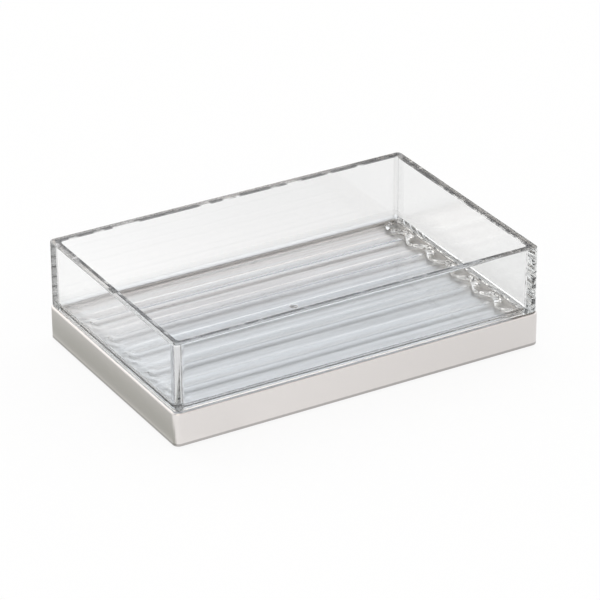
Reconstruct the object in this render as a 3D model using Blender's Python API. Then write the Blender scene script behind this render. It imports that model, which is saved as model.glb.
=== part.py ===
"""Soap dish: a clear ribbed drain tray that seats in a satin nickel plinth on four soft feet.

Lengths are in metres and +Z is up. The origin is the middle of the footprint, on the surface that the
feet stand on. The long side lies along X and the front faces -Y.
"""

import math

import bmesh
import bpy

# Tray
TRAY_LENGTH = 0.1404
TRAY_DEPTH = 0.0900
TRAY_HEIGHT = 0.0245
TRAY_WALL = 0.0029
TRAY_DRAFT = 0.0002
TRAY_CORNER = 0.0018
TRAY_INNER_CORNER = 0.0016
TRAY_RIM_ROUND = 0.0004
TRAY_SEAM_ROUND = 0.0003
FLOOR_THICKNESS = 0.0022
FLOOR_FILLET = 0.0020
SPIGOT_DROP = 0.0020

# Drain ribs on the tray's floor
RIB_COUNT = 5
RIB_WIDTH = 0.0040
RIB_HEIGHT = 0.0020
RIB_END_GAP = 0.0080
GATE_RADIUS = 0.0017
GATE_RISE = 0.0002

# Base
BASE_OVERHANG = 0.0005
BASE_HEIGHT = 0.0123
BASE_WALL = 0.0022
BASE_TOP_ROUND = 0.0007
BASE_FOOT_ROUND = 0.0004
LEDGE_WIDTH = 0.0040
DECK_THICKNESS = 0.0020

# Bosses under the base, and the feet pushed into them
BOSS_INSET = 0.0090
BOSS_WALL = 0.0018
BOSS_ROOT = 0.0010
WEB_THICKNESS = 0.0014
WEB_ROOT = 0.0005
FOOT_STEM_RADIUS = 0.0017
FOOT_STEM_LENGTH = 0.0040
FOOT_HEAD_RADIUS = 0.0046
FOOT_HEAD_THICKNESS = 0.0018
FOOT_EDGE_ROUND = 0.0004
FOOT_PROUD = 0.0006

# Clearances
SEAT_GAP = 0.0003
OVERRUN = 0.0010
WELD = 0.000001

# Smoothness of rounds, in straight steps for a quarter turn
CORNER_STEPS = 8
ROUND_STEPS = 4
RIB_STEPS = 7
SHARP_ANGLE = math.radians(35)

BASE_LENGTH = TRAY_LENGTH + 2 * BASE_OVERHANG
BASE_DEPTH = TRAY_DEPTH + 2 * BASE_OVERHANG
BASE_TOP = FOOT_PROUD + BASE_HEIGHT
SEAT_HEIGHT = BASE_TOP + SEAT_GAP
DECK_TOP = BASE_TOP - SPIGOT_DROP
DECK_UNDERSIDE = DECK_TOP - DECK_THICKNESS
SPIGOT_INSET = LEDGE_WIDTH + SEAT_GAP - BASE_OVERHANG
FLOOR_TOP = FLOOR_THICKNESS - SPIGOT_DROP
BORE_RADIUS = FOOT_STEM_RADIUS + SEAT_GAP
BOSS_RADIUS = BORE_RADIUS + BOSS_WALL
BOSS_END = FOOT_HEAD_THICKNESS + SEAT_GAP
QUARTER = math.pi / 2


def arc(inset, height, radius, start, end, steps=ROUND_STEPS):
    """Profile points along a round. An angle of 0 looks inwards and a quarter turn looks up."""
    angles = [start + (end - start) * i / steps for i in range(steps + 1)]
    return [(inset + radius * math.cos(a), height + radius * math.sin(a)) for a in angles]


def outline(half_length, half_depth, radius):
    """Corner points of a rounded rectangle about the origin, anticlockwise from above."""
    points = []
    for quarter, (side_x, side_y) in enumerate([(1, 1), (-1, 1), (-1, -1), (1, -1)]):
        for step in range(CORNER_STEPS + 1):
            angle = QUARTER * (quarter + step / CORNER_STEPS)
            x = side_x * (half_length - radius) + radius * math.cos(angle)
            y = side_y * (half_depth - radius) + radius * math.sin(angle)
            points.append((x, y))
    return points


def loft(length, depth, corner, inner_corner, profile):
    """A closed mesh whose wall follows (inset, height) points all round a rounded rectangle."""
    shape = bmesh.new()
    rings = []
    for inset, height in profile:
        radius = max(corner - inset, inner_corner)
        points = outline(length / 2 - inset, depth / 2 - inset, radius)
        rings.append([shape.verts.new((x, y, height)) for x, y in points])
    for lower, upper in zip(rings, rings[1:]):
        for i in range(len(lower)):
            shape.faces.new((lower[i - 1], lower[i], upper[i], upper[i - 1]))
    shape.faces.new(reversed(rings[0]))
    shape.faces.new(rings[-1])
    bmesh.ops.remove_doubles(shape, verts=shape.verts, dist=WELD)
    bmesh.ops.recalc_face_normals(shape, faces=shape.faces)
    return shape


def turned(profile):
    """A closed mesh turned about Z from (radius, height) points that start and end on the axis."""
    shape = bmesh.new()
    points = [shape.verts.new((radius, 0, height)) for radius, height in profile]
    edges = [shape.edges.new(pair) for pair in zip(points, points[1:])]
    bmesh.ops.spin(
        shape,
        geom=points + edges,
        cent=(0, 0, 0),
        axis=(0, 0, 1),
        angle=4 * QUARTER,
        steps=4 * CORNER_STEPS,
        use_merge=True,
    )
    bmesh.ops.remove_doubles(shape, verts=shape.verts, dist=WELD)
    bmesh.ops.recalc_face_normals(shape, faces=shape.faces)
    return shape


def cylinder(radius, bottom, top):
    """A closed cylinder about Z."""
    return turned([(0, bottom), (radius, bottom), (radius, top), (0, top)])


def slab(low, high):
    """A closed block between two opposite corners."""
    shape = bmesh.new()
    bmesh.ops.create_cube(shape, size=1)
    for vert in shape.verts:
        for axis in range(3):
            vert.co[axis] = high[axis] if vert.co[axis] > 0 else low[axis]
    return shape


def mesh_from(shape, name):
    """Turns a bmesh into a smooth shaded mesh whose real edges stay crisp."""
    mesh = bpy.data.meshes.new(name)
    shape.to_mesh(mesh)
    shape.free()
    mesh.shade_smooth()
    mesh.set_sharp_from_angle(angle=SHARP_ANGLE)
    return mesh


def place(name, mesh, location=(0, 0, 0), parent=None):
    """Puts a mesh in the scene under a name."""
    obj = bpy.data.objects.new(name, mesh)
    obj.location = location
    obj.parent = parent
    bpy.context.scene.collection.objects.link(obj)
    return obj


def helper(name, shape, location, parent):
    """A shape that is only there to be joined to a piece or cut from it."""
    obj = place(name, mesh_from(shape, name), location, parent)
    obj.hide_render = True
    obj.display_type = "WIRE"
    return obj


def combine(piece, others, operation):
    """Joins the other shapes to a piece, or cuts them from it."""
    for other in others:
        modifier = piece.modifiers.new(f"{operation.lower()} {other.name}", "BOOLEAN")
        modifier.operation = operation
        modifier.object = other
        modifier.solver = "EXACT"


def finish(name, color, roughness, metallic=0.0, transmission=0.0, ior=1.5):
    """A surface finish."""
    material = bpy.data.materials.new(name)
    material.use_nodes = True
    shader = material.node_tree.nodes["Principled BSDF"]
    shader.inputs["Base Color"].default_value = (*color, 1.0)
    shader.inputs["Roughness"].default_value = roughness
    shader.inputs["Metallic"].default_value = metallic
    shader.inputs["Transmission Weight"].default_value = transmission
    shader.inputs["IOR"].default_value = ior
    material.diffuse_color = (*color, 1.0)
    return material


def tray_profile():
    """Section of the tray from the middle of its underside, up the outside, over the rim, to its floor."""
    inner = TRAY_WALL + TRAY_DRAFT + FLOOR_FILLET
    rim_height = TRAY_HEIGHT - TRAY_RIM_ROUND
    return [
        (SPIGOT_INSET, -SPIGOT_DROP),
        (SPIGOT_INSET, 0),
        *arc(TRAY_SEAM_ROUND, TRAY_SEAM_ROUND, TRAY_SEAM_ROUND, -QUARTER, -2 * QUARTER),
        *arc(TRAY_RIM_ROUND, rim_height, TRAY_RIM_ROUND, 2 * QUARTER, QUARTER),
        *arc(TRAY_WALL - TRAY_RIM_ROUND, rim_height, TRAY_RIM_ROUND, QUARTER, 0),
        *arc(inner, FLOOR_TOP + FLOOR_FILLET, FLOOR_FILLET, 2 * QUARTER, 3 * QUARTER),
    ]


def rib_shape():
    """A half-round bar with domed ends, whose root reaches down into the floor."""
    half = RIB_WIDTH / 2
    root = -FLOOR_THICKNESS / 2
    crown = QUARTER * RIB_STEPS / (RIB_STEPS + 1)
    angles = [crown * step / RIB_STEPS for step in range(RIB_STEPS + 1)]
    dome = [(half - half * math.cos(a), RIB_HEIGHT * math.sin(a)) for a in angles]
    inner_length = TRAY_LENGTH - 2 * (TRAY_WALL + TRAY_DRAFT)
    length = inner_length - 2 * RIB_END_GAP
    return loft(length, RIB_WIDTH, half, 0, [(0, root), *dome])


def rib_places():
    """Where the ribs lie across the tray: they share its inner depth out evenly."""
    inner_depth = TRAY_DEPTH - 2 * (TRAY_WALL + TRAY_DRAFT)
    pitch = inner_depth / (RIB_COUNT + 1)
    return [pitch * (i - (RIB_COUNT - 1) / 2) for i in range(RIB_COUNT)]


def build_tray():
    """The clear tray: lofted walls and floor, the drain ribs and the mark that the mould's gate leaves."""
    profile = tray_profile()
    shape = loft(TRAY_LENGTH, TRAY_DEPTH, TRAY_CORNER, TRAY_INNER_CORNER, profile)
    tray = place("tray", mesh_from(shape, "tray"), (0, 0, SEAT_HEIGHT))
    ribs = [
        helper(f"rib_{i + 1}", rib_shape(), (0, y, FLOOR_TOP), tray)
        for i, y in enumerate(rib_places())
    ]
    gate_shape = cylinder(GATE_RADIUS, -FLOOR_THICKNESS / 2, RIB_HEIGHT + GATE_RISE)
    gate = helper("gate_mark", gate_shape, (0, 0, FLOOR_TOP), tray)
    combine(tray, [*ribs, gate], "UNION")
    tray.data.materials.append(finish("clear plastic", (0.96, 0.97, 0.97), 0.02, 0.0, 1.0, 1.49))
    return tray


def base_profile():
    """Section of the base from the underside of its deck, down the skirt and up outside, to the deck's top."""
    top_round = BASE_TOP - BASE_TOP_ROUND
    foot_round = FOOT_PROUD + BASE_FOOT_ROUND
    return [
        (BASE_WALL, DECK_UNDERSIDE),
        (BASE_WALL, FOOT_PROUD),
        *arc(BASE_FOOT_ROUND, foot_round, BASE_FOOT_ROUND, -QUARTER, -2 * QUARTER),
        *arc(BASE_TOP_ROUND, top_round, BASE_TOP_ROUND, 2 * QUARTER, QUARTER),
        (LEDGE_WIDTH, BASE_TOP),
        (LEDGE_WIDTH, DECK_TOP),
    ]


def corner_places():
    """The four corners of the base as a name and the signs of x and y."""
    return [
        ("front_left", -1, -1),
        ("front_right", 1, -1),
        ("rear_left", -1, 1),
        ("rear_right", 1, 1),
    ]


def boss_center(side_x, side_y):
    """Where the boss of one corner stands."""
    return (
        side_x * (BASE_LENGTH / 2 - BOSS_INSET),
        side_y * (BASE_DEPTH / 2 - BOSS_INSET),
        0,
    )


def web_shape(side_x, side_y):
    """A web from the middle of a boss's wall to the middle of the skirt, towards one side."""
    half = WEB_THICKNESS / 2
    near = BORE_RADIUS + BOSS_WALL / 2
    far = BOSS_INSET - BASE_WALL / 2
    xs = sorted([side_x * near, side_x * far]) if side_x else [-half, half]
    ys = sorted([side_y * near, side_y * far]) if side_y else [-half, half]
    return slab((xs[0], ys[0], BOSS_END + SEAT_GAP), (xs[1], ys[1], DECK_UNDERSIDE + WEB_ROOT))


def build_base():
    """The plinth: a hollow shell with a sunk deck, and in each corner a boss held by two webs."""
    corner = TRAY_CORNER + BASE_OVERHANG
    shape = loft(BASE_LENGTH, BASE_DEPTH, corner, TRAY_INNER_CORNER, base_profile())
    base = place("base", mesh_from(shape, "base"))
    added = []
    cut = []
    for name, side_x, side_y in corner_places():
        center = boss_center(side_x, side_y)
        boss = cylinder(BOSS_RADIUS, BOSS_END, DECK_UNDERSIDE + BOSS_ROOT)
        bore = cylinder(BORE_RADIUS, BOSS_END - OVERRUN, BOSS_END + FOOT_STEM_LENGTH + SEAT_GAP)
        added.append(helper(f"boss_{name}", boss, center, base))
        added.append(helper(f"web_x_{name}", web_shape(side_x, 0), center, base))
        added.append(helper(f"web_y_{name}", web_shape(0, side_y), center, base))
        cut.append(helper(f"bore_{name}", bore, center, base))
    combine(base, added, "UNION")
    combine(base, cut, "DIFFERENCE")
    base.data.materials.append(finish("satin nickel", (0.66, 0.63, 0.60), 0.32, 1.0))
    return base


def foot_profile():
    """Section of a push-in foot from the middle of its sole to the end of its stem."""
    stem_end = FOOT_HEAD_THICKNESS + FOOT_STEM_LENGTH
    sole = FOOT_HEAD_RADIUS - FOOT_EDGE_ROUND
    return [
        (0, 0),
        *arc(sole, FOOT_EDGE_ROUND, FOOT_EDGE_ROUND, -QUARTER, 0),
        (FOOT_HEAD_RADIUS, FOOT_HEAD_THICKNESS),
        (FOOT_STEM_RADIUS, FOOT_HEAD_THICKNESS),
        (FOOT_STEM_RADIUS, stem_end),
        (0, stem_end),
    ]


def build_feet(base):
    """Four soft feet, each with its head under a boss and its stem in the bore."""
    mesh = mesh_from(turned(foot_profile()), "foot")
    mesh.materials.append(finish("soft grey rubber", (0.55, 0.56, 0.57), 0.75))
    for name, side_x, side_y in corner_places():
        place(f"foot_{name}", mesh, boss_center(side_x, side_y), base)


def clear_scene():
    """Removes whatever the scene holds."""
    for obj in list(bpy.data.objects):
        bpy.data.objects.remove(obj, do_unlink=True)


clear_scene()
build_tray()
build_feet(build_base())
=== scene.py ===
"""Looks of the soap dish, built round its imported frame: clear tray, satin nickel plinth and soft feet.

Lengths are in metres. +X runs along the long side, the front faces -Y and +Z is up.
"""

import logging
import math
from dataclasses import dataclass, field
from enum import Enum
from typing import Sequence, Union

import bmesh
import bpy
from mathutils import Matrix, Vector


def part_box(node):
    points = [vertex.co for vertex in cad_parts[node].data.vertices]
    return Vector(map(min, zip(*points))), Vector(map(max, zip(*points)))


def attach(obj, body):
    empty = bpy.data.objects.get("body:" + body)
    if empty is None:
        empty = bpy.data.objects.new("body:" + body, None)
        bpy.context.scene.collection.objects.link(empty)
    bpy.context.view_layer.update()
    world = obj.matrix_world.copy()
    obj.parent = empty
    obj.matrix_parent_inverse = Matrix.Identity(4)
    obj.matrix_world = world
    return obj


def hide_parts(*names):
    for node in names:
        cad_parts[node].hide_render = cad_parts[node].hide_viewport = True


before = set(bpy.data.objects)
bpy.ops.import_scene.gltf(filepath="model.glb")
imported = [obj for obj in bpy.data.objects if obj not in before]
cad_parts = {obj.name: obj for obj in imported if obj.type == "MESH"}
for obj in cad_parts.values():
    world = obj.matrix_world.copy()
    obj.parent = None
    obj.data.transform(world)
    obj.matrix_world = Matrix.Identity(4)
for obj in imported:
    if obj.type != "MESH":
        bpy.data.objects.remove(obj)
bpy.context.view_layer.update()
LOG = logging.getLogger("soap_dish")
MM = 0.001
QUARTER = math.pi / 2
ZENITH_DEGREES = 90.0
HALF_TURN_DEGREES = 180.0
UP = Vector((0.0, 0.0, 1.0))
FLATTEN = Vector((1.0, 1.0, 0.0))

Color = tuple[float, float, float]
Span = tuple[float, float]
Profile = list[tuple[float, float]]
Socket = bpy.types.NodeSocket
Input = Union[Socket, Vector, Color, float]
WHOLE: Span = (0.0, 1.0)


class Slot(Enum):
    """The record's material slots."""

    CLEAR_PLASTIC = "clear_plastic"
    SATIN_NICKEL = "satin_nickel"
    SOFT_RUBBER = "soft_rubber"


class Grain(Enum):
    """The way a grain runs over a piece, as what its place is multiplied by on each axis."""

    ALONG_X = (0.02, 1.0, 1.0)
    EVEN = (1.0, 1.0, 1.0)


class Sheet:
    """A node tree that is being written for one material or world."""

    MIX_COLORS = slice(6, 8)
    MIX_RESULT = 2

    def __init__(self, tree: bpy.types.NodeTree) -> None:
        """Starts from an empty tree.

        Args:
            tree: The node tree to write.
        """
        self.tree = tree
        self.tree.nodes.clear()

    def feed(self, value: Input, target: Socket) -> None:
        """Links a socket to another one, or sets a plain value on it.

        Args:
            value: A socket, a colour, a vector or a number.
            target: The socket that takes it.
        """
        if isinstance(value, Socket):
            self.tree.links.new(value, target)
        elif target.type == "RGBA":
            target.default_value = (*value, 1.0)
        else:
            target.default_value = value

    def node(self, kind: str, **values: object) -> bpy.types.Node:
        """Adds a node and sets its properties and sockets.

        Args:
            kind: The node's type without its leading words, such as "BsdfPrincipled".
            values: Properties, or sockets by name with spaces as underscores.

        Returns:
            The node.
        """
        made = self.tree.nodes.new(f"ShaderNode{kind}")
        for name, value in values.items():
            if hasattr(made, name):
                setattr(made, name, value)
            else:
                self.feed(value, made.inputs[name.replace("_", " ")])
        return made

    def place(self, grain: Grain = Grain.EVEN) -> Socket:
        """Gives the place on the object, stretched along a grain.

        Args:
            grain: The way the grain runs.

        Returns:
            The place.
        """
        plain = self.node("TexCoord").outputs["Object"]
        if grain is Grain.EVEN:
            return plain
        return self.node("Mapping", Vector=plain, Scale=grain.value).outputs["Vector"]

    def split(self, vector: Socket) -> dict[str, Socket]:
        """Takes a vector apart.

        Args:
            vector: The vector.

        Returns:
            Its parts by axis.
        """
        made = self.node("SeparateXYZ", Vector=vector)
        return {axis: made.outputs[axis] for axis in "XYZ"}

    def calc(self, operation: str, *values: Input) -> Socket:
        """Does a sum on numbers.

        Args:
            operation: The Math node's operation.
            values: The numbers, each plain or a socket.

        Returns:
            The result.
        """
        made = self.node("Math", operation=operation)
        for value, target in zip(values, made.inputs):
            self.feed(value, target)
        return made.outputs[0]

    def vector(self, operation: str, *values: Input) -> Socket:
        """Does a sum on vectors.

        Args:
            operation: The VectorMath node's operation.
            values: The vectors, each plain or a socket.

        Returns:
            The result: a number for a dot product, or else a vector.
        """
        made = self.node("VectorMath", operation=operation)
        for value, target in zip(values, made.inputs):
            self.feed(value, target)
        return made.outputs["Value" if operation == "DOT_PRODUCT" else "Vector"]

    def product(self, *factors: Input) -> Socket:
        """Multiplies numbers.

        Args:
            factors: The numbers, the first of them a socket.

        Returns:
            The product.
        """
        result = factors[0]
        for factor in factors[1:]:
            result = self.calc("MULTIPLY", result, factor)
        return result

    def fade(self, value: Socket, low: float, high: float) -> Socket:
        """Rises smoothly from 0 to 1 while a value goes from one bound to the other.

        Args:
            value: The value.
            low: Where the result is 0.
            high: Where it is 1.

        Returns:
            The result.
        """
        made = self.node("MapRange", interpolation_type="SMOOTHSTEP", Value=value)
        made.inputs["From Min"].default_value, made.inputs["From Max"].default_value = low, high
        return made.outputs["Result"]

    def ramp(self, value: Socket, levels: Span, results: Span) -> Socket:
        """Turns a value in one range evenly into one in another range.

        Args:
            value: The value.
            levels: The range it comes from.
            results: The range it goes to.

        Returns:
            The result.
        """
        made = self.node("MapRange", Value=value)
        made.inputs["From Min"].default_value, made.inputs["From Max"].default_value = levels
        made.inputs["To Min"].default_value, made.inputs["To Max"].default_value = results
        return made.outputs["Result"]

    def noise(self, place: Socket, size: float, detail: float) -> Socket:
        """Gives a cloudy pattern.

        Args:
            place: The place on the object.
            size: Width of one cloud.
            detail: How many finer patterns lie in it.

        Returns:
            The pattern's level, from 0 to 1.
        """
        return self.node("TexNoise", Vector=place, Scale=1 / size, Detail=detail).outputs["Fac"]

    def bump(self, height: Socket, depth: float) -> Socket:
        """Gives the surface a relief that light sees.

        Args:
            height: The relief's level, from 0 to 1.
            depth: Its whole depth.

        Returns:
            The direction that the surface faces.
        """
        return self.node("Bump", Strength=1.0, Distance=depth, Height=height).outputs["Normal"]

    def mix(self, share: Socket, first: Input, second: Input) -> Socket:
        """Goes from one colour to another.

        Args:
            share: How much of the second colour there is.
            first: The first colour.
            second: The second colour.

        Returns:
            The mixed colour.
        """
        made = self.node("Mix", data_type="RGBA")
        self.feed(share, made.inputs[0])
        for color, target in zip((first, second), made.inputs[self.MIX_COLORS]):
            self.feed(color, target)
        return made.outputs[self.MIX_RESULT]


def new_material(name: str) -> tuple[bpy.types.Material, Sheet]:
    """Makes a material with an empty node tree.

    Args:
        name: Its name.

    Returns:
        The material, and the sheet to write its nodes on.
    """
    made = bpy.data.materials.new(name)
    made.use_nodes = True
    return made, Sheet(made.node_tree)


def uneven(roughness: float, unevenness: float) -> Span:
    """Gives the least and the most blur of a surface."""
    return roughness - unevenness / 2, roughness + unevenness / 2


@dataclass(frozen=True)
class ClearPlastic:
    """Polished clear moulded plastic, with painted shade on its rim and wall corners.

    Attributes:
        tint: What the surface lets through, by colour.
        ior: How strongly it bends light.
        foot_blur: Blur of what shows in the back wall's foot; the rest is polished.
        foot_zone: Where that blur sets in, across the tray, from and to.
        foot_top: How high it reaches over the seat, from none to full.
        body: Colour of the plastic in depth.
        density: How strongly the plastic in depth takes light away, for each metre.
        ripple: Depth of the mould's slow ripples.
        ripple_size: Width of one ripple.
        rim_outer_shade: Painted shade: what the rim lets through outside its dark stretches, a grey tint
            that stands in for dark surroundings seen through the rim.
        rim_inner_shade: Painted shade: what the dark stretches along its inner edge let through.
        rim_shade_turn: Inset from the outer face at which the rim's painted shade darkens, from and to.
        rim_shade_depth: How far down from its top the rim's painted shade reaches.
        rim_shade_patch: Length of one painted dark stretch of the rim.
        rim_shade_cut: Levels of the pattern between which a stretch turns to painted shade.
        left_corner_shade: Painted shade: what the left corners of the walls let through, greyer than the
            right ones.
        right_corner_shade: Painted shade: what the right corners let through.
        corner_spot_shade: The same in the painted dark spots of the front right corner.
        corner_shade_reach: How far a corner's painted shade reaches inwards.
        shade_spot_size: Height of one painted dark spot.
        shade_spot_stretch: What a spot's place is multiplied by on each axis, which makes it wider than
            high.
        shade_spot_cut: Levels of the pattern between which a spot turns to painted shade.
        full_share: Where the painted shade of the rim and of the corners is full, as a share of its reach.
    """

    tint: Color = (0.947, 0.949, 0.947)
    ior: float = 1.49
    foot_blur: float = 0.3
    foot_zone: Span = (39.4 * MM, 40.0 * MM)
    foot_top: Span = (2.8 * MM, 2.2 * MM)
    body: Color = (0.47, 0.50, 0.51)
    density: float = 8.0
    ripple: float = 0.004 * MM
    ripple_size: float = 9 * MM
    # Painted shade: the rim's grey and dark tints stand in for dark surroundings seen through the rim.
    rim_outer_shade: Color = (0.90, 0.90, 0.90)
    rim_inner_shade: Color = (0.10, 0.10, 0.105)
    rim_shade_turn: Span = (0.9 * MM, 1.9 * MM)
    rim_shade_depth: float = 0.5 * MM
    rim_shade_patch: float = 5 * MM
    rim_shade_cut: Span = (0.36, 0.50)
    # Painted shade: the corner tints and dark spots stand in for dark surroundings refracted in the wall
    # corners.
    left_corner_shade: Color = (0.48, 0.48, 0.485)
    right_corner_shade: Color = (0.84, 0.84, 0.84)
    corner_spot_shade: Color = (0.06, 0.06, 0.062)
    corner_shade_reach: float = 3.0 * MM
    shade_spot_size: float = 1.2 * MM
    shade_spot_stretch: tuple[float, float, float] = (0.25, 0.25, 1.0)
    shade_spot_cut: Span = (0.48, 0.54)
    full_share: float = 0.8

    def tone(self, sheet: Sheet, place: Socket, outline: Vector) -> Socket:
        """Writes what the surface lets through, by colour, with painted shade on the rim and in the wall
        corners.

        Args:
            sheet: The material's node tree.
            place: Place on the tray.
            outline: Half the tray's length and depth, and the height of its rim.

        Returns:
            The colour.
        """
        inset = sheet.split(sheet.vector("SUBTRACT", outline, sheet.vector("ABSOLUTE", place)))
        inner = sheet.fade(sheet.calc("MINIMUM", inset["X"], inset["Y"]), *self.rim_shade_turn)
        patches = sheet.fade(sheet.noise(place, self.rim_shade_patch, detail=2.0), *self.rim_shade_cut)
        # Painted shade: dark stretches along the rim's inner edge.
        rim = sheet.mix(sheet.product(inner, patches), self.rim_outer_shade, self.rim_inner_shade)
        top = sheet.fade(inset["Z"], self.rim_shade_depth, self.full_share * self.rim_shade_depth)
        return sheet.mix(top, self.wall_tint_and_shade(sheet, place, inset), rim)

    def wall_tint_and_shade(self, sheet: Sheet, place: Socket, inset: dict[str, Socket]) -> Socket:
        """Writes what the walls let through, with painted shade: greyer corners, and painted dark spots in
        the front right one.

        Args:
            sheet: The material's node tree.
            place: Place on the tray.
            inset: The insets from the outer faces, by axis.

        Returns:
            The colour.
        """
        axes = sheet.split(place)
        right = sheet.fade(axes["X"], 0.0, self.corner_shade_reach)
        front = sheet.fade(axes["Y"], 0.0, -self.corner_shade_reach)
        # Painted shade: dark spots in the front right corner, and the left corners greyer than the right
        # ones.
        stretched = sheet.vector("MULTIPLY", place, self.shade_spot_stretch)
        shade_spots = sheet.fade(sheet.noise(stretched, self.shade_spot_size, detail=1.0), *self.shade_spot_cut)
        plain = sheet.mix(right, self.left_corner_shade, self.right_corner_shade)
        corner = sheet.mix(sheet.product(right, front, shade_spots), plain, self.corner_spot_shade)
        farthest = sheet.calc("MAXIMUM", inset["X"], inset["Y"])
        near = sheet.fade(farthest, self.corner_shade_reach, self.full_share * self.corner_shade_reach)
        return sheet.mix(near, self.tint, corner)

    def blur(self, sheet: Sheet, place: Socket) -> Socket:
        """Writes the surface's blur: none but at the foot of the back wall, which the mould leaves dull.

        Args:
            sheet: The material's node tree.
            place: Place on the tray.

        Returns:
            The roughness.
        """
        axes = sheet.split(place)
        behind = sheet.fade(axes["Y"], *self.foot_zone)
        low = sheet.fade(axes["Z"], *self.foot_top)
        return sheet.product(behind, low, self.foot_blur)

    def material(self, outline: Vector) -> bpy.types.Material:
        """Writes the material.

        Args:
            outline: Half the tray's length and depth, and the height of its rim.

        Returns:
            The material.
        """
        made, sheet = new_material(Slot.CLEAR_PLASTIC.value)
        place = sheet.place()
        shader = sheet.node(
            "BsdfPrincipled",
            IOR=self.ior,
            Transmission_Weight=1.0,
            Base_Color=self.tone(sheet, place, outline),
            Roughness=self.blur(sheet, place),
            Normal=sheet.bump(sheet.noise(place, self.ripple_size, detail=1.0), self.ripple),
        )
        depth = sheet.node("VolumeAbsorption", Density=self.density, Color=self.body)
        sheet.node("OutputMaterial", Surface=shader.outputs[0], Volume=depth.outputs[0])
        return made


@dataclass(frozen=True)
class SatinNickel:
    """Satin nickel with a fine grain, with painted light on the deck and a painted shadow along its foot.

    Attributes:
        color: Colour of the outer faces.
        deck_light_front: Colour of the deck towards the front, with painted light: cooler and darker.
        deck_light_back: Colour of the deck towards the back, with painted light: lighter and warmer.
        deck_light_turn: Where the deck's painted light turns, across the dish, from and to.
        deck_end_shade: Painted shade: colour of the deck's darkened right end.
        end_shade_turn: Where the right end's painted shade sets in, along the dish, from and to.
        deck_facing: How far up a face looks where it takes the deck's colour, from and to; 1 is upright.
        foot_shadow_share: How dark the painted shadow along the lower edge is, as a share of the colour.
        foot_shadow_edge: Height of the painted shadow along the lower edge over what the dish stands on,
            from none to full.
        roughness: Blur of what it mirrors.
        unevenness: How far the blur varies across the grain.
        grain: The way the grain runs.
        grain_size: Width of one line of the grain.
        grain_depth: Depth of the grain.
        streak_size: Width of one streak of the deck's colour.
        streak_levels: Levels of the pattern in the darkest and the lightest streaks.
        streak_shares: How dark and how light the streaks are, as shares of the colour.
    """

    color: Color = (0.747, 0.718, 0.702)
    # Painted light: the deck cooler and darker towards the front, lighter and warmer towards the back.
    deck_light_front: Color = (0.745, 0.762, 0.785)
    deck_light_back: Color = (0.98, 0.94, 0.925)
    deck_light_turn: Span = (-2 * MM, 32 * MM)
    # Painted shade: the deck's right end darkened.
    deck_end_shade: Color = (0.30, 0.275, 0.25)
    end_shade_turn: Span = (56 * MM, 62 * MM)
    deck_facing: Span = (0.8, 0.95)
    # Painted shadow along the base's lower edge.
    foot_shadow_share: float = 0.6
    foot_shadow_edge: Span = (1.9 * MM, 1.5 * MM)
    roughness: float = 0.30
    unevenness: float = 0.10
    grain: Grain = Grain.ALONG_X
    grain_size: float = 0.5 * MM
    grain_depth: float = 0.0015 * MM
    streak_size: float = 1.6 * MM
    streak_levels: Span = (0.25, 0.75)
    streak_shares: Span = (0.80, 1.20)

    def deck_grain_and_light(self, sheet: Sheet, axes: dict[str, Socket], stretched: Socket) -> Socket:
        """Writes the deck's colour: streaked by its grain, with painted light that makes it cooler and
        darker towards the front, and painted shade that makes it dark at the right end.

        Args:
            sheet: The material's node tree.
            axes: Place on the object, by axis.
            stretched: The place, stretched along the grain.

        Returns:
            The colour.
        """
        # Painted light across the deck, from front to back.
        lit_deck = sheet.mix(sheet.fade(axes["Y"], *self.deck_light_turn), self.deck_light_front, self.deck_light_back)
        # Painted shade at the deck's right end.
        lit_deck = sheet.mix(sheet.fade(axes["X"], *self.end_shade_turn), lit_deck, self.deck_end_shade)
        streaks = sheet.noise(stretched, self.streak_size, detail=2.0)
        light = sheet.ramp(streaks, self.streak_levels, self.streak_shares)
        return sheet.node("VectorMath", operation="SCALE", Vector=lit_deck, Scale=light).outputs["Vector"]

    def tone(self, sheet: Sheet, stretched: Socket) -> Socket:
        """Writes the colour: the deck's, with its painted light, on faces that look up, and plain with a
        painted shadow along the foot on the rest.

        Args:
            sheet: The material's node tree.
            stretched: Place on the object, stretched along the grain.

        Returns:
            The colour.
        """
        axes = sheet.split(sheet.place())
        # Painted shadow: the outer faces darkened along the lower edge, where the base meets the floor.
        foot = tuple(self.foot_shadow_share * part for part in self.color)
        sides = sheet.mix(sheet.fade(axes["Z"], *self.foot_shadow_edge), self.color, foot)
        facing = sheet.split(sheet.node("NewGeometry").outputs["Normal"])
        up = sheet.fade(facing["Z"], *self.deck_facing)
        return sheet.mix(up, sides, self.deck_grain_and_light(sheet, axes, stretched))

    def material(self) -> bpy.types.Material:
        """Writes the material.

        Returns:
            The material.
        """
        made, sheet = new_material(Slot.SATIN_NICKEL.value)
        stretched = sheet.place(self.grain)
        lines = sheet.noise(stretched, self.grain_size, detail=3.0)
        shader = sheet.node(
            "BsdfPrincipled",
            Metallic=1.0,
            Base_Color=self.tone(sheet, stretched),
            Roughness=sheet.ramp(lines, WHOLE, uneven(self.roughness, self.unevenness)),
            Normal=sheet.bump(lines, self.grain_depth),
        )
        sheet.node("OutputMaterial", Surface=shader.outputs[0])
        return made


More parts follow.
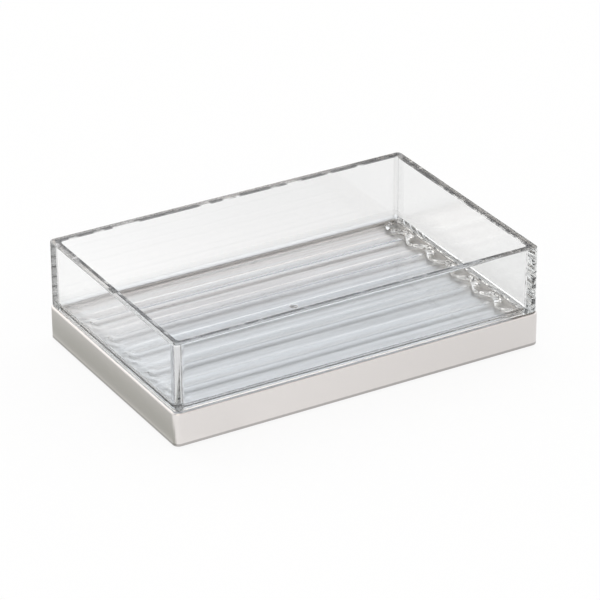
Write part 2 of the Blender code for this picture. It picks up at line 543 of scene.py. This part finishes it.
@dataclass(frozen=True)
class SoftRubber:
    """Soft grey rubber.

    Attributes:
        color: Colour of the rubber.
        dusty: Colour where the surface is rubbed pale.
        dusty_cut: Levels of the pattern between which the surface turns pale.
        roughness: Blur of its sheen.
        unevenness: How far the blur varies.
        grain: The way the moulded texture runs.
        grain_size: Width of one pit of the texture.
        grain_depth: Depth of the texture.
        patch_size: Width of one rubbed patch.
    """

    color: Color = (0.30, 0.31, 0.32)
    dusty: Color = (0.42, 0.425, 0.43)
    dusty_cut: Span = (0.4, 0.7)
    roughness: float = 0.7
    unevenness: float = 0.2
    grain: Grain = Grain.EVEN
    grain_size: float = 0.35 * MM
    grain_depth: float = 0.02 * MM
    patch_size: float = 3 * MM

    def material(self) -> bpy.types.Material:
        """Writes the material.

        Returns:
            The material.
        """
        made, sheet = new_material(Slot.SOFT_RUBBER.value)
        place = sheet.place(self.grain)
        patches = sheet.noise(place, self.patch_size, detail=4.0)
        shader = sheet.node(
            "BsdfPrincipled",
            Base_Color=sheet.mix(sheet.fade(patches, *self.dusty_cut), self.color, self.dusty),
            Roughness=sheet.ramp(patches, WHOLE, uneven(self.roughness, self.unevenness)),
            Normal=sheet.bump(sheet.noise(place, self.grain_size, detail=2.0), self.grain_depth),
        )
        sheet.node("OutputMaterial", Surface=shader.outputs[0])
        return made


def arc(inset: float, height: float, radius: float, start: float, end: float, steps: int) -> Profile:
    """Profile points along a round.

    Args:
        inset: Inset of the round's centre from the outer face.
        height: Height of the round's centre.
        radius: Radius of the round.
        start: First angle; 0 looks inwards and a quarter turn looks up.
        end: Last angle.
        steps: Number of straight steps.

    Returns:
        The (inset, height) points.
    """
    turns = [start + (end - start) * i / steps for i in range(steps + 1)]
    return [(inset + radius * math.cos(t), height + radius * math.sin(t)) for t in turns]


@dataclass
class Tray:
    """The clear tray: one moulding of walls, floor, locating spigot, drain ribs and gate mark.

    Attributes:
        length: Length over the walls.
        depth: Depth over the walls, from front to back.
        height: Height of the rim over the seat.
        wall: Thickness of the walls at the rim.
        draft: How much thicker the walls are at the floor.
        corner: Radius of the outer corners.
        inner_corner: Radius of the inner corners.
        rim_round: Radius of the rim's two edges.
        seam_round: Radius of the outer faces' lower edge.
        floor_thickness: Thickness of the floor over the spigot's underside.
        floor_fillet: Radius between the walls and the floor.
        spigot_drop: How far the spigot reaches down in the base.
        spigot_inset: Inset of the spigot from the outer faces.
        rib_count: Number of drain ribs.
        rib_width: Width of a rib.
        rib_height: Height of a rib over the floor.
        rib_end_gap: Distance from a rib's end to the end wall.
        gate_radius: Radius of the gate mark in the middle of the floor.
        gate_rise: Height of the gate mark over the ribs.
        gate_steps: Number of grid steps from the gate mark's middle to its edge.
        wave_inset: Middle distance from the end walls to the ridge across the ribs' ends.
        wave_swing: How far the ridge swings to each side of that.
        wave_width: Width of the ridge.
        wave_height: Height of the right ridge over the floor.
        left_share: Height of the left ridge, as a share of the right one's.
        lump_share: How far the ridge's height varies, as a share of it.
        lump_size: Length of one lump of the ridge along and across the tray.
        floor_margin: Width of the strip between the floor's fillet and its grid.
        corner_steps: Number of straight steps in a corner.
        round_steps: Number of straight steps in a round.
        grid_step: Distance from one line of the floor's grid to the next.
        line_digits: Decimals of a metre to which two lines of the grid are the same.
        sharp_angle: Angle from which an edge is sharp.
        flat_weight: How strongly the flat faces lead the shading beside them.
        finish: The plastic.
    """

    length: float = 140.4 * MM
    depth: float = 90.0 * MM
    height: float = 24.5 * MM
    wall: float = 2.9 * MM
    draft: float = 0.2 * MM
    corner: float = 1.8 * MM
    inner_corner: float = 1.6 * MM
    rim_round: float = 0.4 * MM
    seam_round: float = 0.3 * MM
    floor_thickness: float = 2.2 * MM
    floor_fillet: float = 2.0 * MM
    spigot_drop: float = 2.0 * MM
    spigot_inset: float = 3.8 * MM
    rib_count: int = 5
    rib_width: float = 6.0 * MM
    rib_height: float = 0.38 * MM
    rib_end_gap: float = 5.0 * MM
    gate_radius: float = 2.0 * MM
    gate_rise: float = 0.5 * MM
    gate_steps: int = 12
    wave_inset: float = 5.0 * MM
    wave_swing: float = 1.5 * MM
    wave_width: float = 3.2 * MM
    wave_height: float = 1.1 * MM
    left_share: float = 0.3
    lump_share: float = 0.55
    lump_size: Span = (1.9 * MM, 2.6 * MM)
    floor_margin: float = 1.4 * MM
    corner_steps: int = 16
    round_steps: int = 6
    grid_step: float = 0.45 * MM
    line_digits: int = 7
    sharp_angle: float = math.radians(40)
    flat_weight: int = 50
    finish: ClearPlastic = field(default_factory=ClearPlastic)

    @property
    def floor_top(self) -> float:
        """Height of the floor above the seat."""
        return self.floor_thickness - self.spigot_drop

    @property
    def inner_length(self) -> float:
        """Length between the inner faces at the floor."""
        return self.length - 2 * (self.wall + self.draft)

    @property
    def inner_depth(self) -> float:
        """Depth between the inner faces at the floor."""
        return self.depth - 2 * (self.wall + self.draft)

    @property
    def rib_pitch(self) -> float:
        """Distance from one rib to the next."""
        return self.inner_depth / (self.rib_count + 1)

    @property
    def rib_reach(self) -> float:
        """Half a rib's length, up to the middle of its round end."""
        return self.inner_length / 2 - self.rib_end_gap - self.rib_width / 2

    def rib_places(self) -> list[float]:
        """Where the ribs lie across the tray."""
        return [self.rib_pitch * (i - (self.rib_count - 1) / 2) for i in range(self.rib_count)]

    def profile(self) -> Profile:
        """Section from the underside's edge, up the outside, over the rim and down to the floor.

        Returns:
            The (inset, height) points, with the height above the seat.
        """
        seam, rim_round, fillet = self.seam_round, self.rim_round, self.floor_fillet
        rim = self.height - rim_round
        foot = self.wall + self.draft + fillet
        steps = self.round_steps
        return [
            (self.spigot_inset, -self.spigot_drop),
            (self.spigot_inset, 0.0),
            *arc(seam, seam, seam, -QUARTER, -2 * QUARTER, steps),
            *arc(rim_round, rim, rim_round, 2 * QUARTER, QUARTER, steps),
            *arc(self.wall - rim_round, rim, rim_round, QUARTER, 0.0, steps),
            *arc(foot, self.floor_top + fillet, fillet, 2 * QUARTER, 3 * QUARTER, 2 * steps),
        ]

    @staticmethod
    def crown(share: float) -> float:
        """Height of a crowned section, from 1 at its middle (0) to 0 at its edge (1)."""
        return max(1 - share * share, 0.0)

    def rib(self, x: float, y: float) -> float:
        """Height of the nearest rib over the floor at a place.

        Args:
            x: Place along the tray.
            y: Place across the tray.

        Returns:
            The height.
        """
        over = max(abs(x) - self.rib_reach, 0.0)
        away = min(math.hypot(over, y - place) for place in self.rib_places())
        return self.rib_height * self.crown(2 * away / self.rib_width)

    def wave(self, x: float, y: float) -> float:
        """Height of the lumpy ridge across the ribs' ends over the floor at a place.

        Args:
            x: Place along the tray.
            y: Place across the tray.

        Returns:
            The height.
        """
        swing = math.cos(math.tau * y / self.rib_pitch)
        middle = self.inner_length / 2 - self.wave_inset + self.wave_swing * swing
        lumps = math.sin(math.tau * x / self.lump_size[0]) * math.sin(math.tau * y / self.lump_size[1])
        ends = (1 + swing) / 2
        lumpy_share = 1 - self.lump_share * (1 - ends * (1 + lumps))
        side_share = 1.0 if x > 0 else self.left_share
        ridge = self.wave_height * self.crown(2 * (abs(x) - middle) / self.wave_width)
        return ridge * lumpy_share * side_share

    def relief(self, x: float, y: float) -> float:
        """How far the ribs, the ridges at their ends and the gate mark stand over the floor at a place.

        Args:
            x: Place along the tray.
            y: Place across the tray.

        Returns:
            The height over the floor.
        """
        gate = (self.rib_height + self.gate_rise) * self.crown(math.hypot(x, y) / self.gate_radius)
        return max(self.rib(x, y), self.wave(x, y), gate)

    def grid(self, edge: float) -> list[float]:
        """Grid lines that run from one edge to the other in even steps, with finer ones at the gate mark.

        Args:
            edge: Where the grid ends, on both sides of the middle.

        Returns:
            The places of the lines.
        """
        count = math.ceil(edge / self.grid_step)
        even = [edge * i / count for i in range(count + 1)]
        gate = [self.gate_radius * i / self.gate_steps for i in range(self.gate_steps + 1)]
        positive = sorted({round(v, self.line_digits) for v in [*even, *gate]})
        return [-v for v in reversed(positive[1:])] + positive

    def lines_along(self) -> list[float]:
        """Grid lines along the tray's length, left out between the gate mark and the ribs' ends.

        Returns:
            The places of the lines.
        """
        edge = self.inner_length / 2 - self.floor_fillet - self.floor_margin
        middle = self.gate_radius + self.grid_step
        return [v for v in self.grid(edge) if abs(v) <= middle or abs(v) >= self.rib_reach - self.rib_width]

    def lines_across(self) -> list[float]:
        """Grid lines across the tray's depth."""
        return self.grid(self.inner_depth / 2 - self.floor_fillet - self.floor_margin)

    def ring(self, inset: float, xs: Sequence[float], ys: Sequence[float]) -> list[tuple[float, float]]:
        """Points of a rounded rectangle, with a point on its sides at each grid line.

        Args:
            inset: How far it lies inside the outer face.
            xs: Grid lines along the length.
            ys: Grid lines across the depth.

        Returns:
            The points, anticlockwise from the right end of the back right corner.
        """
        radius = max(self.corner - inset, self.inner_corner)
        half_x, half_y = self.length / 2 - inset, self.depth / 2 - inset
        sides = [
            [(x, half_y) for x in reversed(xs)],
            [(-half_x, y) for y in reversed(ys)],
            [(x, -half_y) for x in xs],
            [(half_x, y) for y in ys],
        ]
        points = []
        for quarter, (side_x, side_y) in enumerate([(1, 1), (-1, 1), (-1, -1), (1, -1)]):
            for step in range(self.corner_steps + 1):
                angle = QUARTER * (quarter + step / self.corner_steps)
                x = side_x * (half_x - radius) + radius * math.cos(angle)
                y = side_y * (half_y - radius) + radius * math.sin(angle)
                points.append((x, y))
            points.extend(sides[quarter])
        return points

    def floor_mesh(
        self,
        shape: bmesh.types.BMesh,
        ring: list[bmesh.types.BMVert],
        xs: Sequence[float],
        ys: Sequence[float],
    ) -> None:
        """Fills the last ring with the ribbed floor.

        Args:
            shape: The mesh being built.
            ring: Vertices of the last ring.
            xs: Grid lines along the length.
            ys: Grid lines across the depth.
        """
        top = self.floor_top
        grid = [[shape.verts.new((x, y, top + self.relief(x, y))) for x in xs] for y in ys]
        for row, above in zip(grid, grid[1:]):
            for i in range(len(xs) - 1):
                shape.faces.new((row[i], row[i + 1], above[i + 1], above[i]))
        left, right = [row[0] for row in reversed(grid)], [row[-1] for row in grid]
        start = 0
        for edge in (list(reversed(grid[-1])), left, grid[0], right):
            first = start + self.corner_steps
            side = ring[first + 1: first + 1 + len(edge)]
            for i in range(len(edge) - 1):
                shape.faces.new((side[i], side[i + 1], edge[i + 1], edge[i]))
            arc_points = [ring[start - 1], *ring[start: first + 1], side[0]]
            for a, b in zip(arc_points, arc_points[1:]):
                shape.faces.new((a, b, edge[0]))
            start = first + 1 + len(edge)

    def mesh(self) -> bpy.types.Mesh:
        """Builds the tray's mesh, with its seat at height 0.

        Returns:
            The mesh.
        """
        xs, ys = self.lines_along(), self.lines_across()
        shape = bmesh.new()
        rings = [
            [shape.verts.new((x, y, height)) for x, y in self.ring(inset, xs, ys)]
            for inset, height in self.profile()
        ]
        for lower, upper in zip(rings, rings[1:]):
            for i in range(len(lower)):
                shape.faces.new((lower[i - 1], lower[i], upper[i], upper[i - 1]))
        shape.faces.new(reversed(rings[0]))
        self.floor_mesh(shape, rings[-1], xs, ys)
        bmesh.ops.recalc_face_normals(shape, faces=shape.faces)
        made = bpy.data.meshes.new("clear_tray")
        shape.to_mesh(made)
        shape.free()
        made.shade_smooth()
        made.set_sharp_from_angle(angle=self.sharp_angle)
        return made

    def build(self) -> bpy.types.Object:
        """Builds the tray on its seat in the base and gives it its finish.

        Returns:
            The tray.
        """
        mesh = self.mesh()
        mesh.materials.append(self.finish.material(Vector((self.length / 2, self.depth / 2, self.height))))
        tray = bpy.data.objects.new("clear_tray", mesh)
        bpy.context.scene.collection.objects.link(tray)
        tray.location.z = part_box("tray")[0].z + self.spigot_drop
        weights = tray.modifiers.new("flat faces lead", "WEIGHTED_NORMAL")
        weights.keep_sharp = True
        weights.weight = self.flat_weight
        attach(tray, "tray")
        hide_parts("tray")
        return tray


@dataclass
class Plinth:
    """The base and its feet, whose shapes come from the frame.

    Attributes:
        metal: Finish of the base.
        rubber: Finish of the feet.
    """

    metal: SatinNickel = field(default_factory=SatinNickel)
    rubber: SoftRubber = field(default_factory=SoftRubber)

    def dress(self) -> list[bpy.types.Object]:
        """Gives the base and the feet their finishes.

        Returns:
            The dressed nodes.
        """
        metal, rubber = self.metal.material(), self.rubber.material()
        dressed = []
        for name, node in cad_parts.items():
            if name == "tray":
                continue
            chosen = metal if name == "base" else rubber
            for slot in node.material_slots:
                slot.material = chosen
            dressed.append(node)
        return dressed


@dataclass(frozen=True)
class Panel:
    """A panel or screen that stands round the dish, by the part of the sky that it fills.

    Attributes:
        azimuth: Direction of its middle, anticlockwise from +X, in degrees.
        half_width: Angle from its middle to each side, in degrees.
        low: Height of its lower edge over the horizon, in degrees.
        high: Height of its upper edge, in degrees.
        tone: Its light.
        blur: Width of its soft edge, in degrees.
    """

    azimuth: float
    half_width: float
    low: float
    high: float
    tone: Color
    blur: float = 2.0

    def share(self, sheet: Sheet, height: Socket, level: Socket) -> Socket:
        """Writes how much of the panel shows in each direction.

        Args:
            sheet: The world's node tree.
            height: The direction's height, from -1 straight down to 1 straight up.
            level: The direction with its height taken out.

        Returns:
            The share, from 0 outside the panel to 1 inside it.
        """
        soft = self.blur / 2
        factors = []
        if self.low > -ZENITH_DEGREES:
            bottom = [math.sin(math.radians(self.low + side * soft)) for side in (-1, 1)]
            factors.append(sheet.fade(height, *bottom))
        if self.high < ZENITH_DEGREES:
            top = [math.sin(math.radians(self.high + side * soft)) for side in (1, -1)]
            factors.append(sheet.fade(height, *top))
        if self.half_width < HALF_TURN_DEGREES:
            angle = math.radians(self.azimuth)
            toward = sheet.vector("DOT_PRODUCT", level, (math.cos(angle), math.sin(angle), 0.0))
            sides = [math.cos(math.radians(self.half_width + side * soft)) for side in (1, -1)]
            factors.append(sheet.fade(toward, *sides))
        return sheet.product(*factors)


@dataclass
class Studio:
    """Floor, light and camera.

    Attributes:
        floor_size: Length of the floor's sides.
        floor_color: Colour of the floor.
        seen_share: How much of the floor is plain white where it is seen; the rest takes the shadow.
        mirrored_share: How much of what is mirrored of the floor has the painted reflections below.
        mirrored_left: Painted reflection: tone that the floor shows only in reflections, at the left of the
            dish.
        mirrored_right: Painted reflection: tone that it shows only in reflections, at the right.
        mirrored_reach: Distance from the middle at which each of those is full.
        mirrored_shade: Painted shade: grey that the floor shows only in reflections at the left, which
            darkens the base's left face.
        mirrored_shade_edge: Distance from the middle to the painted shade's near edge.
        mirrored_shade_end: Distance from the middle to its far edge.
        mirrored_shade_front: Distance from the middle to its front edge.
        mirrored_shade_blur: Width of its soft edges.
        sky: Light of the sky where no panel stands.
        panels: The panels, each in front of those before it.
        camera_place: Where the camera stands.
        azimuth: The camera's direction from the dish, from the front towards the right.
        elevation: Its height over the horizon.
        roll: How far it is turned about its own line of sight.
        lens: Focal length, in millimetres.
        sensor_width: Width of its sensor, in millimetres.
        sight: How far it sees.
        bounces: How often light may be bent or mirrored on its way through the clear walls.
    """

    floor_size: float = 6.0
    floor_color: Color = (0.9, 0.9, 0.9)
    seen_share: float = 0.88
    mirrored_share: float = 0.8
    # Painted reflection: tones that the floor shows only to mirrored rays.
    mirrored_left: Color = (1.12, 1.12, 1.12)
    mirrored_right: Color = (0.93, 0.93, 0.93)
    mirrored_reach: float = 80 * MM
    mirrored_shade: Color = (0.40, 0.415, 0.38)
    mirrored_shade_edge: float = 71 * MM
    mirrored_shade_end: float = 83 * MM
    mirrored_shade_front: float = 47 * MM
    mirrored_shade_blur: float = 2 * MM
    sky: Color = (0.95, 0.95, 0.95)
    panels: tuple[Panel, ...] = (
        Panel(0.0, 180.0, -90.0, 10.0, (1.35, 1.30, 1.24)),
        Panel(60.0, 22.5, 10.0, 17.0, (0.11, 0.10, 0.08)),
        Panel(60.0, 22.5, 17.0, 25.0, (0.55, 0.59, 0.66)),
        Panel(60.0, 22.5, 25.0, 35.0, (1.00, 1.01, 1.03)),
        Panel(60.0, 22.5, 35.0, 72.0, (1.45, 1.49, 1.53)),
        Panel(105.0, 22.5, 10.0, 50.0, (1.65, 1.62, 1.58)),
        Panel(105.0, 22.5, 50.0, 72.0, (1.45, 1.50, 1.53)),
        Panel(172.0, 45.0, 25.0, 50.0, (0.52, 0.51, 0.51)),
        Panel(240.0, 22.5, 10.0, 50.0, (1.55, 1.45, 1.30)),
        Panel(285.0, 22.5, 10.0, 25.0, (0.23, 0.27, 0.31)),
        Panel(285.0, 22.5, 25.0, 50.0, (1.12, 1.03, 1.02)),
        Panel(330.0, 22.5, 25.0, 50.0, (1.36, 1.32, 1.25)),
        Panel(330.0, 22.5, 50.0, 72.0, (0.14, 0.12, 0.10)),
        Panel(15.0, 22.5, 25.0, 50.0, (1.60, 1.66, 1.68)),
        Panel(15.0, 22.5, 50.0, 72.0, (1.07, 1.13, 1.22)),
        Panel(0.0, 180.0, 72.0, 90.0, (1.2, 1.2, 1.2)),
    )
    camera_place: tuple[float, float, float] = (-0.516086, -0.891540, 0.546606)
    azimuth: float = math.radians(-30.19)
    elevation: float = math.radians(27.25)
    roll: float = -0.004
    lens: float = 203.28
    sensor_width: float = 36.0
    sight: float = 20.0
    bounces: int = 32

    def floor(self) -> bpy.types.Object:
        """Lays the pale floor that the dish stands on.

        Returns:
            The floor.
        """
        shape = bmesh.new()
        bmesh.ops.create_grid(shape, x_segments=1, y_segments=1, size=self.floor_size / 2)
        mesh = bpy.data.meshes.new("floor")
        shape.to_mesh(mesh)
        shape.free()
        floor = bpy.data.objects.new("floor", mesh)
        bpy.context.scene.collection.objects.link(floor)
        mesh.materials.append(self.floor_material())
        return floor

    def mirrored_tone(self, sheet: Sheet) -> Socket:
        """Writes the floor's painted reflections: a sweep from lighter at the left to darker at the right,
        and a painted grey shade at the left, which darken the base's faces in reflection.

        Args:
            sheet: The floor's node tree.

        Returns:
            The colour.
        """
        axes = sheet.split(sheet.place())
        blur, end = self.mirrored_shade_blur, self.mirrored_shade_end
        # Painted reflection: lighter at the left, darker at the right.
        sweep = sheet.fade(axes["X"], -self.mirrored_reach, self.mirrored_reach)
        plain = sheet.mix(sweep, self.mirrored_left, self.mirrored_right)
        # Painted shade at the left, seen only in reflections.
        beside = sheet.fade(axes["X"], -self.mirrored_shade_edge, -self.mirrored_shade_edge - blur)
        behind = sheet.fade(axes["Y"], -self.mirrored_shade_front, -self.mirrored_shade_front + blur)
        before = sheet.fade(axes["X"], -end - blur, -end)
        return sheet.mix(sheet.product(beside, behind, before), plain, self.mirrored_shade)

    def floor_material(self) -> bpy.types.Material:
        """Writes the floor: white with a shadow where it is seen, and painted reflections, tones that glow
        only in reflections, where it is mirrored.

        Returns:
            The material.
        """
        made, sheet = new_material("floor")
        path = sheet.node("LightPath").outputs
        seen = sheet.calc("MAXIMUM", path["Is Camera Ray"], path["Is Transmission Ray"])
        white = sheet.node("Emission", Strength=1.0)
        tone = sheet.node("Emission", Strength=1.0, Color=self.mirrored_tone(sheet))
        layers = (
            (seen, self.seen_share, white),
            # Painted reflection: the floor glows in these tones only for mirrored rays.
            (path["Is Glossy Ray"], self.mirrored_share, tone),
        )
        shader = sheet.node("BsdfDiffuse", Color=self.floor_color)
        for ray, share, glow in layers:
            mix = sheet.node("MixShader", Fac=sheet.product(ray, share))
            sheet.feed(shader.outputs[0], mix.inputs[1])
            sheet.feed(glow.outputs[0], mix.inputs[2])
            shader = mix
        sheet.node("OutputMaterial", Surface=shader.outputs[0])
        return made

    def world(self) -> None:
        """Lights the scene with a soft sky and the panels in front of it."""
        world = bpy.data.worlds.new("studio")
        bpy.context.scene.world = world
        world.use_nodes = True
        sheet = Sheet(world.node_tree)
        direction = sheet.node("TexCoord").outputs["Generated"]
        height = sheet.split(direction)["Z"]
        level = sheet.vector("NORMALIZE", sheet.vector("MULTIPLY", direction, FLATTEN))
        color = self.sky
        for panel in self.panels:
            color = sheet.mix(panel.share(sheet, height, level), color, panel.tone)
        glow = sheet.node("Background", Color=color)
        sheet.node("OutputWorld", Surface=glow.outputs[0])

    def camera(self) -> bpy.types.Object:
        """Sets the camera at the photograph's angle.

        Returns:
            The camera.
        """
        away = Vector((
            math.sin(self.azimuth) * math.cos(self.elevation),
            -math.cos(self.azimuth) * math.cos(self.elevation),
            math.sin(self.elevation),
        ))
        level = UP.cross(away).normalized()
        upright = away.cross(level)
        right = math.cos(self.roll) * level + math.sin(self.roll) * upright
        upward = away.cross(right)
        turn = Matrix((right, upward, away)).transposed().to_4x4()
        data = bpy.data.cameras.new("camera")
        data.lens = self.lens
        data.sensor_width = self.sensor_width
        data.clip_end = self.sight
        camera = bpy.data.objects.new("camera", data)
        bpy.context.scene.collection.objects.link(camera)
        camera.matrix_world = Matrix.Translation(self.camera_place) @ turn
        bpy.context.scene.camera = camera
        return camera

    def light_paths(self) -> None:
        """Lets light run far enough inside the clear walls."""
        cycles = bpy.context.scene.cycles
        cycles.max_bounces = self.bounces
        cycles.glossy_bounces = self.bounces
        cycles.transmission_bounces = self.bounces

    def build(self) -> None:
        """Sets up floor, light and camera, and reports the first and the last."""
        bpy.context.scene.view_settings.view_transform = "Standard"
        floor = self.floor()
        LOG.info("laid %s", floor.name)
        self.world()
        camera = self.camera()
        LOG.info("set %s", camera.name)
        self.light_paths()


def main() -> None:
    """Builds the pieces in order and reports each."""
    logging.basicConfig(level=logging.INFO, format="%(message)s")
    Studio().build()
    tray = Tray().build()
    LOG.info("built %s with %d faces", tray.name, len(tray.data.polygons))
    for node in Plinth().dress():
        LOG.info("dressed %s", node.name)


if __name__ == "__main__":
    main()
